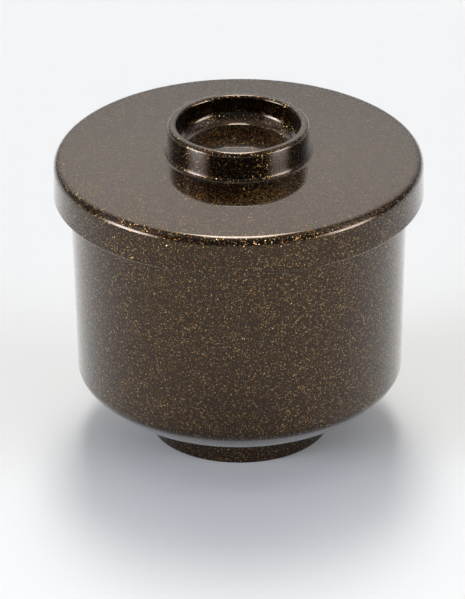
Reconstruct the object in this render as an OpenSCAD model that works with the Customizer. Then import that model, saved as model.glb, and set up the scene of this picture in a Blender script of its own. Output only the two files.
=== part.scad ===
// Small straight-walled soup bowl with a cap lid, speckled lacquer outside and vermilion inside.
// Every piece is a turned form: millimetres, +Z up, origin at the centre of the foot's underside.

/* [Bowl] */
// Height of the bowl from the table to the top of its lip
bowl_h = 66.6; // [56:0.1:80]
// Outer radius of the bowl's wall at the top of the lip
lip_r = 38.85; // [34:0.05:46]
// Thickness of the bowl's wall
wall_t = 2.4; // [1.6:0.1:4]
// Outward lean of the bowl's wall from upright, in degrees
wall_lean = 1.4; // [0:0.1:4]
// Rounding of the lip's inner and outer edges
lip_round = 0.9; // [0.3:0.05:1.1]
// Radius of the tight bend between the wall and the belly
corner_r = 3.5; // [1:0.5:8]
// Radius of the belly's curve, seen from the side
belly_r = 34; // [28:0.5:44]
// Slope of the belly where it meets the foot, in degrees
belly_slope = 14.6; // [8:0.2:18]

/* [Inside of the bowl] */
// Thickness of the floor at its centre, above the hollow of the foot
floor_t = 3.2; // [2:0.1:5]
// Radius of the bend between the inner wall and the floor's curve
well_corner_r = 7; // [3:0.5:10]

/* [Foot] */
// Outer radius of the foot ring
foot_r = 20.8; // [16:0.1:24]
// Height at which the belly would meet the foot ring
foot_h = 5.2; // [4:0.1:8]
// Width of the foot ring
foot_t = 2.6; // [1.8:0.1:5]
// Depth of the hollow inside the foot ring
foot_well = 4.4; // [2:0.1:5]
// Rounding of the foot ring's lower edges
foot_round = 0.4; // [0.2:0.05:0.8]
// Fillet between the foot ring and the belly
foot_fillet = 1; // [0.4:0.1:2]
// Fillet in the hollow of the foot
foot_well_fillet = 1.2; // [0.4:0.1:1.8]

/* [Lid] */
// Thickness of the lid at its shoulder
lid_t = 2.4; // [1.8:0.1:4]
// Rise of the lid's top from the shoulder to the centre
lid_rise = 1.5; // [0.5:0.1:4]
// Play between the bowl's lip and the lid's skirt, all round
lid_play = 1.15; // [0.4:0.05:2]
// Thickness of the lid's skirt
skirt_t = 2.4; // [1.8:0.1:4]
// Reach of the skirt below the bowl's lip
skirt_drop = 6.8; // [3:0.1:14]
// Outward lean of the skirt from upright, in degrees
skirt_lean = 1; // [0:0.1:3]
// Rounding of the shoulder between the lid's top and its skirt
shoulder_r = 2.1; // [0.8:0.1:2.3]
// Rounding of the skirt's lower edges
skirt_round = 0.6; // [0.3:0.05:0.8]
// Rise of the lid's hollow underside from its seat to the centre
under_rise = 1.3; // [0.4:0.1:2]
// Width of the flat seat inside the lid, inward from the bowl's lip
seat_w = 3.6; // [2.6:0.1:8]
// Fillet inside the lid, between the seat and the skirt
seat_fillet = 0.7; // [0.2:0.05:0.9]

/* [Lid ring] */
// Outer radius of the grip ring at its rim
ring_r = 16.3; // [12:0.05:20]
// Thickness of the grip ring at its rim
ring_t = 2.15; // [1.8:0.05:3]
// Height of the grip ring above the centre of the lid's top
ring_h = 6.9; // [4:0.1:12]
// Lean of the grip ring's walls from upright, in degrees
ring_lean = 0.6; // [0:0.1:4]
// Rounding of the rim's outer edge
rim_round = 1.05; // [0.3:0.05:1.1]
// Rounding of the rim's inner edge
rim_inner_round = 0.7; // [0.1:0.05:0.8]
// Fillet between the grip ring and the lid's top
ring_fillet = 1.1; // [0.5:0.1:3]
// Bend between the grip ring's inner wall and the floor of its hollow
ring_well_fillet = 3.5; // [0.4:0.1:4]
// Height of that floor's centre above the centre of the lid's top
ring_floor_rise = 0; // [0:0.1:2]
// Rise of that floor from its centre to the ring's wall, as if it reached the wall
ring_dish = 0.8; // [0.2:0.1:1.5]

/* [Lacquer] */
// Thickness of the vermilion coats inside the bowl and the lid
lining_t = 0.3; // [0.15:0.05:0.6]

/* [Hidden] */
$fn = 360;
nashiji_brown = [0.16, 0.11, 0.07];
vermilion_red = [0.78, 0.18, 0.06];
UP = [0, 1];
OUT = [1, 0];
// Greatest gap between an arc and its chords, as a share of the lip's radius
arc_gap_share = 0.0002;
// Largest rounding of an edge, as a share of its wall
round_limit_share = 0.46;

// Directions in the half plane [radius, height]
function unit(v) = v / norm(v);
function rising(lean) = [sin(lean), cos(lean)];
function outward(lean) = [cos(lean), -sin(lean)];
function at_height(p, lean, z) = p + rising(lean) * (z - p[1]) / cos(lean);
function last(points) = points[len(points) - 1];

// Angle of the shorter way round
function shorter(turn) = turn > 180 ? turn - 360 : turn < -180 ? turn + 360 : turn;

// Points of the arc about a centre, from one direction the shorter way round to another
function arc(centre, radius, from_way, to_way) =
  let (start = atan2(from_way[1], from_way[0]),
       turn = shorter(atan2(to_way[1], to_way[0]) - start),
       steps = ceil(abs(turn) / (2 * acos(1 - arc_gap_share * lip_r / radius))))
    [for (i = [0:steps - 1]) let (angle = start + turn * i / steps)
       centre + radius * [cos(angle), sin(angle)],
     centre + radius * unit(to_way)];

function reversed(points) = [for (i = [len(points) - 1:-1:0]) points[i]];

// Half the angle at the corner b, and the centre of the arc that rounds it
function half_angle(a, b, c) = acos(unit(a - b) * unit(c - b)) / 2;
function rounding_centre(a, b, c, radius) =
  b + unit(unit(a - b) + unit(c - b)) * radius / sin(half_angle(a, b, c));

// The arc that rounds the corner at b between the straight runs from a and to c
function rounded(a, b, c, radius) =
  let (centre = rounding_centre(a, b, c, radius), reach = radius / tan(half_angle(a, b, c)))
    arc(centre, radius, b + unit(a - b) * reach - centre, b + unit(c - b) * reach - centre);

// The centre of an arc that touches a leaning wall through p and, end to end, a large arc.
// The radius is negative where the small arc lies outside both; way is 1 for the upper meeting
// place of the wall and the large arc, and -1 for the lower one.
function touching_centre(p, lean, radius, large_centre, large_radius, way) =
  let (q = p - radius * outward(lean) - large_centre, along = q * rising(lean),
       rest = q * q - pow(large_radius - radius, 2))
    p - radius * outward(lean) + (way * sqrt(along * along - rest) - along) * rising(lean);

// The solid that an outline sweeps round the axis
module turned(outline) {
  rotate_extrude() polygon(outline);
}

// Outside of the bowl
lip = [lip_r, bowl_h];
wall_out = outward(wall_lean);
belly_c = [foot_r - belly_r * sin(belly_slope), foot_h + belly_r * cos(belly_slope)];
corner_c = touching_centre(lip, wall_lean, corner_r, belly_c, belly_r, -1);
foot_fillet_c = [foot_r + foot_fillet,
  belly_c[1] - sqrt(pow(belly_r + foot_fillet, 2) - pow(foot_r + foot_fillet - belly_c[0], 2))];
foot_in_r = foot_r - foot_t;

// Inside of the bowl: a flat floor, a curve about the belly's centre, a bend and the wall, with the
// vermilion face wall_t inside the outer one
well_lip = at_height(lip - wall_t * wall_out, wall_lean, bowl_h);
well_floor_z = foot_well + floor_t;
well_belly_r = belly_c[1] - well_floor_z;
well_corner_c = touching_centre(well_lip, wall_lean, well_corner_r, belly_c, well_belly_r, -1);
lip_edge_r = min(lip_round, wall_t * round_limit_share);
lip_outer_arc = rounded(lip - rising(wall_lean), lip, well_lip, lip_edge_r);
lip_inner_arc = rounded(lip, well_lip, well_lip - rising(wall_lean), lip_edge_r);

// The bowl's inside from the lip to the axis, at a depth below the vermilion face
function well(depth) = [
  last(lip_inner_arc) + depth * wall_out,
  each arc(well_corner_c, well_corner_r + depth, wall_out, well_corner_c - belly_c),
  each arc(belly_c, well_belly_r + depth, well_corner_c - belly_c, -UP),
  [0, well_floor_z - depth]
];

// The bowl's wall, belly, floor and foot ring in one piece
module bowl_shell() {
  color(nashiji_brown) turned([
    [0, foot_well],
    each rounded([0, foot_well], [foot_in_r, foot_well], [foot_in_r, 0], foot_well_fillet),
    each rounded([foot_in_r, foot_well], [foot_in_r, 0], [foot_r, 0], foot_round),
    each rounded([foot_in_r, 0], [foot_r, 0], [foot_r, foot_h], foot_round),
    each arc(foot_fillet_c, foot_fillet, -OUT, belly_c - foot_fillet_c),
    each arc(belly_c, belly_r, foot_fillet_c - belly_c, corner_c - belly_c),
    each arc(corner_c, corner_r, corner_c - belly_c, wall_out),
    each lip_outer_arc,
    each lip_inner_arc,
    each well(lining_t)
  ]);
}

// The vermilion coat on the inside of the bowl, up to the lip's rounding
module bowl_lining() {
  color(vermilion_red) turned([each well(lining_t), each reversed(well(0))]);
}

// Outside of the lid
skirt_out = outward(-skirt_lean);
seat_z = bowl_h;
shoulder_z = bowl_h + lid_t;
dome_top_z = shoulder_z + lid_rise;
skirt_z = bowl_h - skirt_drop;
skirt_in_r = lip_r + lid_play;
skirt_top = [skirt_in_r + skirt_t, shoulder_z];
skirt_foot = at_height(skirt_top, -skirt_lean, skirt_z);
dome_edge_r = skirt_top[0] - shoulder_r;
dome_r = (pow(dome_edge_r, 2) + pow(lid_rise, 2)) / (2 * lid_rise);
dome_c = [0, dome_top_z - dome_r];
shoulder_c = touching_centre(skirt_top, -skirt_lean, shoulder_r, dome_c, dome_r, 1);

// Grip ring
rim_z = dome_top_z + ring_h;
ring_floor_z = dome_top_z + ring_floor_rise;
rim_outer = [ring_r, rim_z];
rim_inner = [ring_r - ring_t, rim_z];
ring_foot = at_height(rim_outer, -ring_lean, ring_floor_z);
ring_fillet_c = touching_centre(rim_outer, -ring_lean, -ring_fillet, dome_c, dome_r, 1);
ring_dish_r = (pow(rim_inner[0], 2) + pow(ring_dish, 2)) / (2 * ring_dish);
ring_dish_c = [0, ring_floor_z + ring_dish_r];
ring_well_c = touching_centre(rim_inner, ring_lean, ring_well_fillet, ring_dish_c, ring_dish_r, -1);

// Inside of the lid
seat_in_r = lip_r - seat_w;
under_r = (pow(seat_in_r, 2) + pow(under_rise, 2)) / (2 * under_rise);
under_c = [0, seat_z + under_rise - under_r];
skirt_in_top = [skirt_in_r, seat_z];
skirt_in_foot = at_height(skirt_in_top, -skirt_lean, skirt_z);
skirt_inner_arc = rounded(skirt_foot, skirt_in_foot, skirt_in_top, skirt_round);
seat_round = min(seat_fillet, lid_play);
seat_round_c = rounding_centre(skirt_in_foot, skirt_in_top, [0, seat_z], seat_round);
// Where the hollow underside meets the flat seat, at a depth above the vermilion face
function crease(depth) =
  [sqrt(pow(under_r + depth, 2) - pow(seat_z + depth - under_c[1], 2)), seat_z + depth];

// The lid's inside from the skirt's edge to the axis, at a depth above the vermilion face
function hollow(depth) = [
  last(skirt_inner_arc) + depth * skirt_out,
  each arc(seat_round_c, seat_round + depth, skirt_out, UP),
  each arc(under_c, under_r + depth, crease(depth) - under_c, UP)
];

// The lid's top, skirt and grip ring in one piece
module lid_shell() {
  color(nashiji_brown) turned([
    each arc(ring_dish_c, ring_dish_r, -UP, ring_well_c - ring_dish_c),
    each arc(ring_well_c, ring_well_fillet, ring_well_c - ring_dish_c, outward(ring_lean)),
    each rounded(rim_inner - rising(ring_lean), rim_inner, rim_outer, rim_inner_round),
    each rounded(rim_inner, rim_outer, ring_foot, rim_round),
    each arc(ring_fillet_c, ring_fillet, -outward(-ring_lean), dome_c - ring_fillet_c),
    each arc(dome_c, dome_r, ring_fillet_c - dome_c, shoulder_c - dome_c),
    each arc(shoulder_c, shoulder_r, shoulder_c - dome_c, skirt_out),
    each rounded(skirt_top, skirt_foot, skirt_in_foot, skirt_round),
    each skirt_inner_arc,
    each hollow(lining_t)
  ]);
}

// The vermilion coat on the inside of the lid, down to the skirt's lower edge
module lid_lining() {
  color(vermilion_red) turned([each hollow(lining_t), each reversed(hollow(0))]);
}

bowl_shell();
bowl_lining();
lid_shell();
lid_lining();
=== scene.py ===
"""The lidded soup bowl in its two lacquers, on a pale studio table."""

import math

import bpy
import numpy as np
from mathutils import Matrix, Vector
from mathutils.kdtree import KDTree


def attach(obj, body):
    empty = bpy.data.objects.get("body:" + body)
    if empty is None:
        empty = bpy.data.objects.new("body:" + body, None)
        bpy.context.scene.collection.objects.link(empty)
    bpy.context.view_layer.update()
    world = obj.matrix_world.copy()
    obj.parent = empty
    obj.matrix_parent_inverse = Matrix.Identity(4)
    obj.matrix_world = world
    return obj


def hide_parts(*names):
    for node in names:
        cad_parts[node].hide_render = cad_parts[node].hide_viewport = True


MM = 0.001

# Turned pieces
RING_REACH = 0.004 * MM
TURN_STEPS = 192
SHARP_TURN = math.radians(40)
FINE_TURN = math.radians(3)

# Speckled lacquer
BRONZE = (0.022, 0.0102, 0.0010)
COPPER = (0.60, 0.195, 0.024)
GOLD = (0.92, 0.61, 0.22)
POWDER = (
    # cell, smallest and largest grain as shares of the cell, share of the cells with a grain,
    # brightness, share of gold
    (0.28 * MM, 0.26, 0.60, 0.60, 0.46, 0.22),
    (0.40 * MM, 0.20, 0.48, 0.60, 0.60, 0.45),
    (0.66 * MM, 0.10, 0.26, 0.75, 0.78, 0.80),
)
POWDER_TURN = (0.6, 0.4, 0.2)
RAGGED_SCALE = 5200
RAGGED_SHARES = (0.55, 1.45)
GRAIN_CORE_SHARE = 0.75
METAL_BLEND = 0.15
DIMMEST_SHARE = 0.15
MIDDLE_CHANCE = (0.5, 0.5, 0.5)
GRAIN_LEAN = 0.9
GROUND_ROUGHNESS = 0.14
GRAIN_ROUGHNESS = 0.30
SPECKLED_COAT = {"Coat Weight": 1.0, "Coat Roughness": 0.03, "Coat IOR": 1.38}

# Vermilion lacquer
DEEP_RED = (0.56, 0.034, 0.010)
CLEAR_RED = (0.62, 0.046, 0.014)
RED_CLOUD_SCALE = 90
RED_CLOUD = (0.3, 0.7)
WAVE_SCALE = 160
WAVE_STRENGTH = 0.06
WAVE_DEPTH = 0.2 * MM
RED_ROUGHNESS = 0.3
RED_COAT = {"Coat Weight": 1.0, "Coat Roughness": 0.04, "Coat IOR": 1.5}

# Table
TABLE_REACH = 6.0
# The table's colour far off and near, and the depths over which it changes from far to near. The paler
# near colour is painted light, which lifts the bowl's cast shadow on the table in front of and beside
# the bowl.
TABLE_FAR = (0.602, 0.602, 0.594)
TABLE_NEAR_PAINTED_LIGHT = (0.670, 0.670, 0.660)
TABLE_PAINTED_LIGHT_SPAN = (110 * MM, -50 * MM)
TABLE_CLOUD_SCALE = 12
TABLE_CLOUD_SHARE = 0.1
TABLE_ROUGHNESS = 0.9

# Lamps: their strengths, and their edges in degrees, from where the light starts to where it is full
OVERHEAD = 20.0
OVERHEAD_BACK = (44, 56)
OVERHEAD_FRONT = (88, 66)
OVERHEAD_ENDS = (8, 4)
GLOW = 0.45
GLOW_BACK = (60, 88)
GLOW_FRONT = (128, 92)
GLOW_ENDS = (48, 20)
SIDE_BOX = 17.4
SIDE_BOX_FRONT = (44, 66)
SIDE_BOX_BACK = (93, 73)
SIDE_BOX_TOP = (25.5, 17.5)
LEFT_STRONGER = 0.22
SIDE_GLOW = 0.9
SIDE_GLOW_FRONT = (50, 78)
SIDE_GLOW_BACK = (120, 92)
SIDE_GLOW_FOOT = (22, 34)
SIDE_GLOW_TOP = (64, 52)
BACKDROP = 1.95
BACKDROP_DIMMEST = 0.15
BACKDROP_ENDS = (118, 150)
BACKDROP_FOOT = (5, 55)
BACKDROP_TOP = (73, 23)
FILL = 0.22
BACKGROUND = 0.83

# Tints of the light, and the strengths between which dim light loses its blue
WARM = (1.02, 1.00, 0.965)
COOL = (0.90, 0.97, 1.14)
DIM_BLUE = (0.80, 0.94, 1.20)
DIM_LIGHT = (0.15, 0.5)
WHITE = (1, 1, 1)

# Camera
AIM_HEIGHT = 34.5 * MM
AIM_OFFSET = (-1.57 * MM, -2.33 * MM)
CAMERA_DISTANCE = 1.5
CAMERA_ELEVATION = math.radians(27.43)
CAMERA_ROLL = math.radians(-0.36)
CAMERA_LENS = 389.4
CAMERA_CLIP = (0.05, 30)
SENSOR_WIDTH = 36.0

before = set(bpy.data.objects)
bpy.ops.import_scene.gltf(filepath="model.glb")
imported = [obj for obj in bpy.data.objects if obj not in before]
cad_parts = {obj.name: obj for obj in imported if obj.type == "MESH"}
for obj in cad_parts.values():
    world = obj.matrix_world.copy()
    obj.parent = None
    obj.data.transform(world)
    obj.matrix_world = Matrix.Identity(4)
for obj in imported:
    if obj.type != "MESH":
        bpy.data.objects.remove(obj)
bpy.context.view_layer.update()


# Turned pieces


def rings_of(mesh):
    """The circles that a turned mesh is made of: their [radius, height] and which ones are joined."""
    flat = [(math.hypot(v.co.x, v.co.y), v.co.z) for v in mesh.vertices]
    tree = KDTree(len(flat))
    for index, (radius, height) in enumerate(flat):
        tree.insert((radius, height, 0), index)
    tree.balance()
    ring_of = [-1] * len(flat)
    rings = []
    for index, point in enumerate(flat):
        if ring_of[index] < 0:
            for _, member, _ in tree.find_range((*point, 0), RING_REACH):
                ring_of[member] = len(rings)
            rings.append(np.array(point))
    joined = [set() for _ in rings]
    for edge in mesh.edges:
        one, other = (ring_of[v] for v in edge.vertices)
        if one != other:
            joined[one].add(other)
            joined[other].add(one)
    return rings, joined


def outline_of(node):
    """A CAD node's half outline in order, from the axis and back to the axis."""
    rings, joined = rings_of(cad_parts[node].data)
    here = next(i for i, others in enumerate(joined) if len(others) == 1)
    order = [here]
    while True:
        onward = [i for i in joined[here] if i not in order]
        if not onward:
            break
        here = onward[0]
        order.append(here)
    points = [rings[i] for i in order]
    for end, place in ((0, 0), (-1, len(points) + 1)):
        on_axis = np.array((0, points[end][1]))
        if points[end][0] > RING_REACH:
            points.insert(place, on_axis)
        else:
            points[end] = on_axis
    area = sum(a[0] * b[1] - b[0] * a[1] for a, b in zip(points, points[1:]))
    if area < 0:
        points.reverse()
    return points


def unit(vector):
    return vector / np.linalg.norm(vector)


def turn_between(first, second):
    """The angle between two directions."""
    return math.acos(np.clip(first @ second, -1, 1))


def travel_of(points):
    """An outline's direction before and after each point: it differs at a sharp corner alone.

    At its two ends the outline meets the axis, where it runs level.
    """
    last = len(points) - 1
    into, out = [], []
    for i, point in enumerate(points):
        before = point - points[max(i - 1, 0)]
        after = points[min(i + 1, last)] - point
        if i in (0, last):
            level = before + after
            level[1] = 0
            into.append(unit(level))
            out.append(unit(level))
        elif turn_between(unit(before), unit(after)) > SHARP_TURN:
            into.append(unit(before))
            out.append(unit(after))
        else:
            into.append(unit(before + after))
            out.append(unit(before + after))
    return into, out


def smoothed(points):
    """Finer points along an outline, each with its directions of travel before and after it."""
    into, out = travel_of(points)
    low, high = np.min(points, axis=0), np.max(points, axis=0)
    fine = []
    for i in range(len(points) - 1):
        near, far = points[i], points[i + 1]
        length = np.linalg.norm(far - near)
        leaving, coming = out[i] * length, into[i + 1] * length
        steps = max(1, math.ceil(turn_between(out[i], into[i + 1]) / FINE_TURN))
        for step in range(steps):
            t = step / steps
            point = (
                (2 * t**3 - 3 * t**2 + 1) * near
                + (t**3 - 2 * t**2 + t) * leaving
                + (3 * t**2 - 2 * t**3) * far
                + (t**3 - t**2) * coming
            )
            way = unit(
                (6 * t**2 - 6 * t) * (near - far)
                + (3 * t**2 - 4 * t + 1) * leaving
                + (3 * t**2 - 2 * t) * coming
            )
            fine.append((np.clip(point, low, high), into[i] if step == 0 else way, way))
    fine.append((points[-1], into[-1], into[-1]))
    return fine


def swept(name, fine):
    """The mesh that an outline sweeps round the axis, with the outline's own normals."""
    turns = [2 * math.pi * i / TURN_STEPS for i in range(TURN_STEPS)]
    vertices, rows = [], []
    for (radius, height), _, _ in fine:
        if radius == 0:
            rows.append([len(vertices)] * TURN_STEPS)
            vertices.append((0, 0, height))
        else:
            rows.append(range(len(vertices), len(vertices) + TURN_STEPS))
            vertices += [(radius * math.cos(t), radius * math.sin(t), height) for t in turns]
    faces, normals = [], []
    for (low, high), (first, second) in zip(zip(rows, rows[1:]), zip(fine, fine[1:])):
        for i in range(TURN_STEPS):
            j = (i + 1) % TURN_STEPS
            corners = [(low[i], turns[i], first[2]), (low[j], turns[j], first[2])]
            corners += [(high[j], turns[j], second[1]), (high[i], turns[i], second[1])]
            if low[i] == low[j]:
                corners.pop(1)
            elif high[i] == high[j]:
                corners.pop(2)
            faces.append([vertex for vertex, _, _ in corners])
            for _, t, way in corners:
                normals.append((way[1] * math.cos(t), way[1] * math.sin(t), -way[0]))
    mesh = bpy.data.meshes.new(name)
    mesh.from_pydata(vertices, [], faces)
    mesh.polygons.foreach_set("use_smooth", [True] * len(faces))
    mesh.normals_split_custom_set(normals)
    return mesh


def turned(name, node, body, finish):
    """The piece that stands for a turned CAD node: its outline, made smooth and swept round."""
    mesh = swept(name, smoothed(outline_of(node)))
    mesh.materials.append(finish)
    piece = bpy.data.objects.new(name, mesh)
    bpy.context.scene.collection.objects.link(piece)
    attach(piece, body)
    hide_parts(node)


# Finishes


def put(tree, socket, value):
    """Links a value to a socket, or sets it there."""
    if isinstance(value, Value):
        tree.links.new(value.socket, socket)
    elif isinstance(value, tuple) and socket.type == "RGBA":
        socket.default_value = (*value, 1)
    else:
        socket.default_value = value


def worked_out(tree, operation, *operands):
    """The result of one Math node."""
    node = tree.nodes.new("ShaderNodeMath")
    node.operation = operation
    for socket, operand in zip(node.inputs, operands):
        put(tree, socket, operand)
    return Value(tree, node.outputs[0])


class Value:
    """A value in a node tree, which can be added, multiplied and compared like a number."""

    def __init__(self, tree, socket):
        self.tree = tree
        self.socket = socket

    def math(self, operation, *others):
        return worked_out(self.tree, operation, self, *others)

    def __add__(self, other):
        return self.math("ADD", other)

    def __radd__(self, other):
        return self.math("ADD", other)

    def __sub__(self, other):
        return self.math("SUBTRACT", other)

    def __rsub__(self, other):
        return worked_out(self.tree, "SUBTRACT", other, self)

    def __mul__(self, other):
        return self.math("MULTIPLY", other)

    def __rmul__(self, other):
        return self.math("MULTIPLY", other)

    def __lt__(self, other):
        return self.math("LESS_THAN", other)


class Nodes:
    """A node tree, filled one node at a time."""

    def __init__(self, tree):
        self.tree = tree
        tree.nodes.clear()

    def node(self, kind, settings, values, *outputs):
        """One node with its settings and its sockets' values, as the values that it gives out."""
        node = self.tree.nodes.new("ShaderNode" + kind)
        for name, value in settings.items():
            setattr(node, name, value)
        for name, value in values.items():
            put(self.tree, node.inputs[name], value)
        found = [Value(self.tree, node.outputs[name]) for name in outputs]
        return found[0] if len(found) == 1 else found

    def mixed(self, share, low, high):
        """From the colour low to the colour high, by a share."""
        colours = {"Factor": share, 6: low, 7: high}
        return self.node("Mix", {"data_type": "RGBA"}, colours, 2)

    def ramp(self, value, low, high):
        """0 below low to 1 above high, or the other way round where low is the larger."""
        values = {"Value": value, "From Min": low, "From Max": high}
        return self.node("MapRange", {"interpolation_type": "SMOOTHSTEP"}, values, "Result")

    def between(self, value, first, last):
        """1 between two soft edges, each given from where it is 0 to where it is 1."""
        return self.ramp(value, *first) * self.ramp(value, *last)

    def noise(self, place, scale, detail):
        values = {"Vector": place, "Scale": scale, "Detail": detail}
        return self.node("TexNoise", {}, values, "Fac")

    def vector(self, operation, values):
        """The result of one Vector Math node."""
        return self.node("VectorMath", {"operation": operation}, values, "Vector")


def new_finish(name):
    material = bpy.data.materials.new(name)
    material.use_nodes = True
    return material, Nodes(material.node_tree)


def shaded(nodes, values):
    """Ends a finish with the surface that has these values."""
    surface = nodes.node("BsdfPrincipled", {}, values, "BSDF")
    nodes.node("OutputMaterial", {}, {"Surface": surface})


def grains(nodes, place, ragged, layer):
    """One size of powder: where its grains lie, their colour, and how far each one leans."""
    cell, small, large, filled, strength, gold = layer
    settings = {"voronoi_dimensions": "3D", "feature": "F1"}
    values = {"Vector": place, "Scale": 1 / cell, "Randomness": 1}
    distance, chance = nodes.node("TexVoronoi", settings, values, "Distance", "Color")
    size, glint, presence = nodes.node("SeparateXYZ", {}, {"Vector": chance}, "X", "Y", "Z")
    least, most = RAGGED_SHARES
    reach = (small + size * (large - small)) * (least + (most - least) * ragged)
    inside = nodes.ramp(distance, reach, reach * GRAIN_CORE_SHARE) * (presence < filled)
    richness = nodes.ramp(size, 1 - METAL_BLEND - gold, 1 + METAL_BLEND - gold)
    bright = (DIMMEST_SHARE + (1 - DIMMEST_SHARE) * glint * glint) * strength
    colour = nodes.vector("SCALE", {0: nodes.mixed(richness, COPPER, GOLD), "Scale": bright})
    lean = nodes.vector("SUBTRACT", {0: chance, 1: MIDDLE_CHANCE})
    lean = nodes.vector("SCALE", {0: lean, "Scale": inside * GRAIN_LEAN})
    return inside, colour, lean


def nashiji():
    """Gold and copper powder in a bronze brown ground, under a clear polished coat."""
    material, nodes = new_finish("nashiji_lacquer")
    place = nodes.node("TexCoord", {}, {}, "Object")
    place = nodes.node("Mapping", {}, {"Vector": place, "Rotation": POWDER_TURN}, "Vector")
    ragged = nodes.noise(place, RAGGED_SCALE, 1)
    colour = BRONZE
    tilt = nodes.node("NewGeometry", {}, {}, "Normal")
    powder = 0.0
    for layer in POWDER:
        inside, fleck, lean = grains(nodes, place, ragged, layer)
        colour = nodes.mixed(inside, colour, fleck)
        tilt = nodes.vector("ADD", {0: tilt, 1: lean})
        powder = inside.math("MAXIMUM", powder)
    shaded(nodes, {
        "Base Color": colour,
        "Metallic": 1.0,
        "Roughness": GROUND_ROUGHNESS + (GRAIN_ROUGHNESS - GROUND_ROUGHNESS) * powder,
        "Normal": nodes.vector("NORMALIZE", {0: tilt}),
        **SPECKLED_COAT,
    })
    return material


def vermilion():
    """Opaque vermilion lacquer, polished."""
    material, nodes = new_finish("vermilion_lacquer")
    place = nodes.node("TexCoord", {}, {}, "Object")
    cloud = nodes.ramp(nodes.noise(place, RED_CLOUD_SCALE, 3), *RED_CLOUD)
    wave = nodes.noise(place, WAVE_SCALE, 1)
    bump = {"Height": wave, "Strength": WAVE_STRENGTH, "Distance": WAVE_DEPTH}
    shaded(nodes, {
        "Base Color": nodes.mixed(cloud, DEEP_RED, CLEAR_RED),
        "Roughness": RED_ROUGHNESS,
        "Normal": nodes.node("Bump", {}, bump, "Normal"),
        **RED_COAT,
    })
    return material


# Studio


def table_top():
    """The pale table, far wider than any view, with painted light: its colour grows paler towards the
    viewer, which lifts the bowl's shadow on the table.
    """
    material, nodes = new_finish("table")
    place = nodes.node("TexCoord", {}, {}, "Object")
    cloud = nodes.noise(place, TABLE_CLOUD_SCALE, 2)
    depth = nodes.node("SeparateXYZ", {}, {"Vector": place}, "Y")
    # Painted light: paler colour near the viewer lifts the bowl's cast shadow there; the cloud adds
    # random tone.
    near = nodes.ramp(depth, *TABLE_PAINTED_LIGHT_SPAN) + cloud * TABLE_CLOUD_SHARE
    shaded(nodes, {
        "Base Color": nodes.mixed(near, TABLE_FAR, TABLE_NEAR_PAINTED_LIGHT),
        "Roughness": TABLE_ROUGHNESS,
        "Specular IOR Level": 0.0,
    })
    mesh = bpy.data.meshes.new("table")
    signs = ((-1, -1), (1, -1), (1, 1), (-1, 1))
    corners = [(x * TABLE_REACH, y * TABLE_REACH, 0) for x, y in signs]
    mesh.from_pydata(corners, [], [(0, 1, 2, 3)])
    mesh.materials.append(material)
    table = bpy.data.objects.new("table", mesh)
    bpy.context.scene.collection.objects.link(table)


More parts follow.
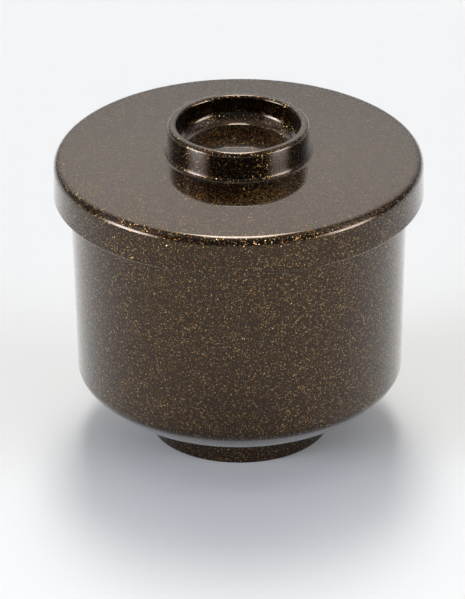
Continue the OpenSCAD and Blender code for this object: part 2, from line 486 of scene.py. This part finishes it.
def studio():
    """The studio's light: softboxes overhead and on both sides, the glow round them and a backdrop."""
    world = bpy.data.worlds.new("studio")
    bpy.context.scene.world = world
    world.use_nodes = True
    nodes = Nodes(world.node_tree)
    way = nodes.node("TexCoord", {}, {}, "Generated")
    x, y, z = nodes.node("SeparateXYZ", {}, {"Vector": way}, "X", "Y", "Z")
    degrees = 180 / math.pi
    width = x.math("ABSOLUTE")
    elevation = z.math("ARCSINE") * degrees
    across = width.math("ARCSINE") * degrees
    arch = z.math("ARCTAN2", y) * degrees
    side = width.math("ARCTAN2", y * -1) * degrees
    overhead = nodes.between(arch, OVERHEAD_BACK, OVERHEAD_FRONT) * nodes.ramp(across, *OVERHEAD_ENDS)
    box = nodes.between(side, SIDE_BOX_FRONT, SIDE_BOX_BACK) * nodes.ramp(elevation, *SIDE_BOX_TOP)
    box = box * (1 - x * LEFT_STRONGER)
    glow = nodes.between(arch, GLOW_BACK, GLOW_FRONT) * nodes.ramp(across, *GLOW_ENDS)
    beside = nodes.between(side, SIDE_GLOW_FRONT, SIDE_GLOW_BACK)
    beside = beside * nodes.between(elevation, SIDE_GLOW_FOOT, SIDE_GLOW_TOP)
    backdrop = BACKDROP_DIMMEST + nodes.between(elevation, BACKDROP_FOOT, BACKDROP_TOP) * BACKDROP
    light = overhead * OVERHEAD + box * SIDE_BOX + glow * GLOW + beside * SIDE_GLOW
    light = light + nodes.ramp(side, *BACKDROP_ENDS) * backdrop + FILL
    tint = nodes.mixed(box + beside, WARM, COOL)
    tint = nodes.mixed(nodes.ramp(light, *DIM_LIGHT), DIM_BLUE, tint)
    seen = nodes.node("LightPath", {}, {}, "Is Camera Ray")
    tint = nodes.mixed(seen, tint, WHITE)
    light = light * (1 - seen) + BACKGROUND * seen
    surround = nodes.node("Background", {}, {"Color": tint, "Strength": light}, "Background")
    nodes.node("OutputWorld", {}, {"Surface": surround})


def camera():
    """The photograph's viewpoint: straight at the bowl, from above, through a long lens."""
    back = Vector((0, -math.cos(CAMERA_ELEVATION), math.sin(CAMERA_ELEVATION)))
    right = Vector((1, 0, 0))
    up = back.cross(right)
    turned_right = right * math.cos(CAMERA_ROLL) + up * math.sin(CAMERA_ROLL)
    turned_up = up * math.cos(CAMERA_ROLL) - right * math.sin(CAMERA_ROLL)
    target = Vector((0, 0, AIM_HEIGHT))
    place = target + back * CAMERA_DISTANCE
    aim = target + turned_right * AIM_OFFSET[0] + turned_up * AIM_OFFSET[1]
    back = (place - aim).normalized()
    right = (turned_right - back * turned_right.dot(back)).normalized()
    up = back.cross(right)
    data = bpy.data.cameras.new("camera")
    data.sensor_width = SENSOR_WIDTH
    data.lens = CAMERA_LENS
    data.clip_start, data.clip_end = CAMERA_CLIP
    eye = bpy.data.objects.new("camera", data)
    eye.matrix_world = Matrix.Translation(place) @ Matrix((right, up, back)).transposed().to_4x4()
    bpy.context.scene.collection.objects.link(eye)
    bpy.context.scene.camera = eye


speckled = nashiji()
red = vermilion()
turned("bowl_body", "bowl_shell", "bowl", speckled)
turned("bowl_red_coat", "bowl_lining", "bowl", red)
turned("lid_body", "lid_shell", "lid", speckled)
turned("lid_red_coat", "lid_lining", "lid", red)
table_top()
studio()
camera()
bpy.context.scene.view_settings.view_transform = "Standard"
